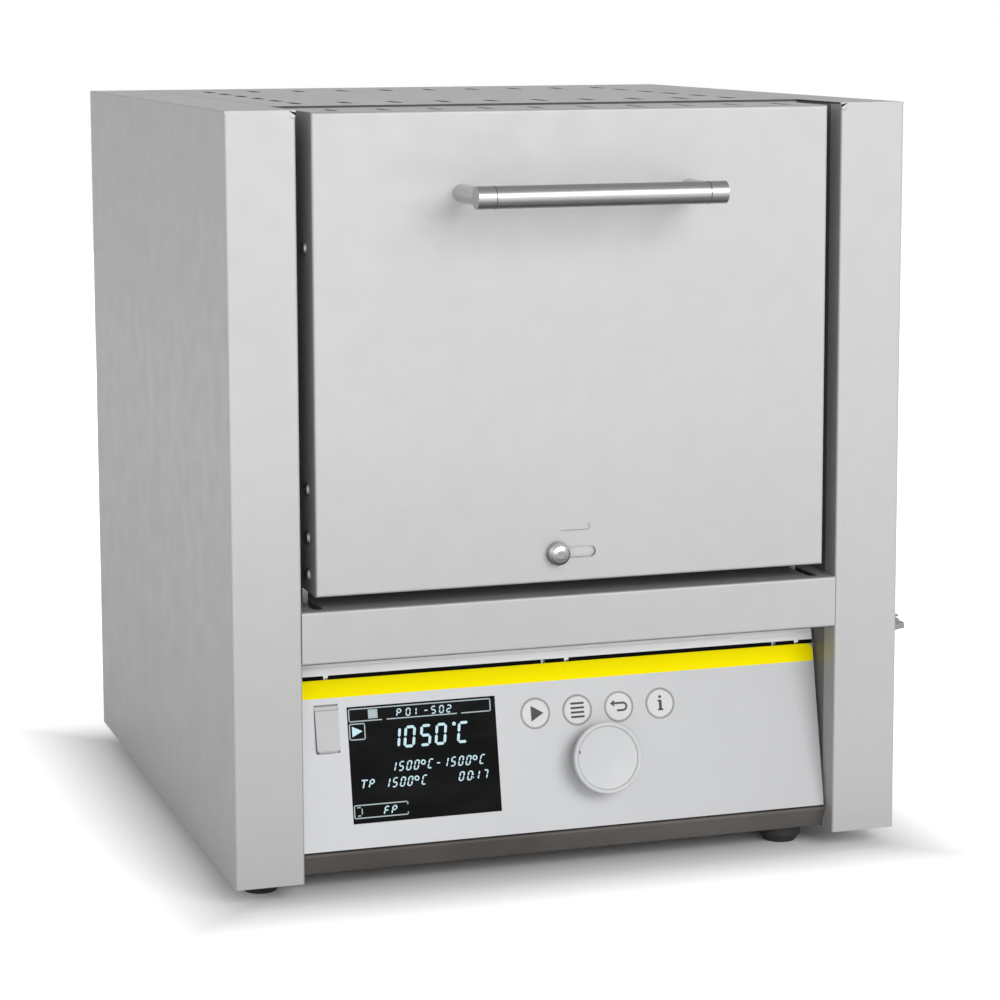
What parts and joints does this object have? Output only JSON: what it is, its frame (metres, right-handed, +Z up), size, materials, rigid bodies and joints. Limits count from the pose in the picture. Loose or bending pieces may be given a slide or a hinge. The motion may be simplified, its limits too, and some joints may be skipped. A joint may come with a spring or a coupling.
{
  "type": "muffle furnace",
  "caption": "Bench-top muffle furnace with a fold-down insulated door, a sloping control panel with display, keys and jog wheel, and a heated ceramic chamber.",
  "frame": {"origin": "on the surface the feet stand on, at the middle of the outline seen from above, with the handle, exhaust stub and switch included", "axes": "+Z up, the front with its door faces -Y, and +X is to the right seen from the front"},
  "size_m": [0.395, 0.461, 0.424],
  "materials": {
    "stainless_panel": "satin",
    "polished_steel": "gloss",
    "galvanised_sheet": "satin",
    "grey_trim": "satin",
    "panel_grey": "satin",
    "yellow_stripe": "satin",
    "display_black": "gloss",
    "light_plastic": "satin",
    "black_plastic": "matte",
    "board_green": "satin",
    "rubber_black": "matte",
    "fibre_white": "matte",
    "ceramic_cream": "matte",
    "heater_alloy": "satin",
    "nickel_plate": "satin"
  },
  "bodies": {
    "housing": {"left_side_panel": "stainless_panel", "right_side_panel": "stainless_panel", "top_cover": "stainless_panel", "front_sill": "stainless_panel", "undercut_strip": "grey_trim", "control_bezel": "panel_grey", "accent_stripe": "yellow_stripe", "top_rail": "panel_grey", "display_window": "display_black", "main_switch_body": "black_plastic", "feet": "rubber_black", "rear_panel": "stainless_panel", "base_plate": "galvanised_sheet", "front_frame": "stainless_panel", "inner_casing": "galvanised_sheet", "support_brackets": "galvanised_sheet", "chamber_collar": "fibre_white", "heating_plates": "ceramic_cream", "heating_wires": "heater_alloy", "floor_plate": "ceramic_cream", "roof_plate": "ceramic_cream", "insulation_sides": "fibre_white", "insulation_top": "fibre_white", "insulation_bottom": "fibre_white", "insulation_rear": "fibre_white", "thermocouple": "ceramic_cream", "exhaust_tube": "ceramic_cream", "exhaust_flange": "polished_steel", "hinge_brackets": "galvanised_sheet", "hinge_pins": "nickel_plate", "door_switch": "black_plastic", "panel_carrier": "galvanised_sheet", "display_module": "black_plastic", "controller_board": "board_green", "encoder": "black_plastic", "usb_socket": "nickel_plate", "solid_state_relay": "black_plastic", "power_inlet": "black_plastic", "rear_screws": "nickel_plate"},
    "door": {"door_skin": "stainless_panel", "handle_bar": "polished_steel", "handle_posts": "polished_steel", "handle_screws": "nickel_plate", "door_rivets": "nickel_plate", "hinge_arms": "galvanised_sheet", "door_liner": "stainless_panel", "door_insulation": "fibre_white", "slider_guide": "galvanised_sheet", "door_magnet": "black_plastic"},
    "air_slider": {"slider_plate": "galvanised_sheet", "slider_knob": "polished_steel"},
    "jog_shaft": {"encoder_shaft": "nickel_plate"},
    "jog_wheel": {"jog_knob": "light_plastic"},
    "play_button": {"play_key": "light_plastic"},
    "menu_button": {"menu_key": "light_plastic"},
    "back_button": {"back_key": "light_plastic"},
    "info_button": {"info_key": "light_plastic"},
    "usb_flap": {"usb_cover": "light_plastic"},
    "power_rocker": {"main_switch_rocker": "black_plastic"}
  },
  "joints": [
    {"name": "door_hinge", "type": "hinge", "parent": "housing", "child": "door", "pos_m": [0, -0.1705, 0.1444], "axis": [1, 0, 0], "range_deg": [0, 90]},
    {"name": "air_slide", "type": "slide", "parent": "door", "child": "air_slider", "axis": [1, 0, 0], "range_m": [0, 0.019]},
    {"name": "jog_press", "type": "slide", "parent": "housing", "child": "jog_shaft", "axis": [0, 0.9789, -0.2045], "range_m": [0, 0.0006], "stiffness_N_per_m": 3000, "springref_m": -0.0006},
    {"name": "jog_turn", "type": "hinge", "parent": "jog_shaft", "child": "jog_wheel", "pos_m": [0.0155, -0.1729, 0.06231], "axis": [0, -0.9789, 0.2045], "continuous": true},
    {"name": "usb_flap_hinge", "type": "hinge", "parent": "housing", "child": "usb_flap", "pos_m": [-0.1408, -0.15897, 0.09965], "axis": [-1, 0, 0], "range_deg": [0, 95]},
    {"name": "power_rocker_hinge", "type": "hinge", "parent": "housing", "child": "power_rocker", "pos_m": [0.1875, -0.17, 0.131], "axis": [0, 1, 0], "range_deg": [0, 18]},
    {"name": "play_press", "type": "slide", "parent": "housing", "child": "play_button", "axis": [0, 0.9789, -0.2045], "range_m": [0, 0.0008], "stiffness_N_per_m": 2500, "springref_m": -0.0008},
    {"name": "menu_press", "type": "slide", "parent": "housing", "child": "menu_button", "axis": [0, 0.9789, -0.2045], "range_m": [0, 0.0008], "stiffness_N_per_m": 2500, "springref_m": -0.0008},
    {"name": "back_press", "type": "slide", "parent": "housing", "child": "back_button", "axis": [0, 0.9789, -0.2045], "range_m": [0, 0.0008], "stiffness_N_per_m": 2500, "springref_m": -0.0008},
    {"name": "info_press", "type": "slide", "parent": "housing", "child": "info_button", "axis": [0, 0.9789, -0.2045], "range_m": [0, 0.0008], "stiffness_N_per_m": 2500, "springref_m": -0.0008}
  ]
}
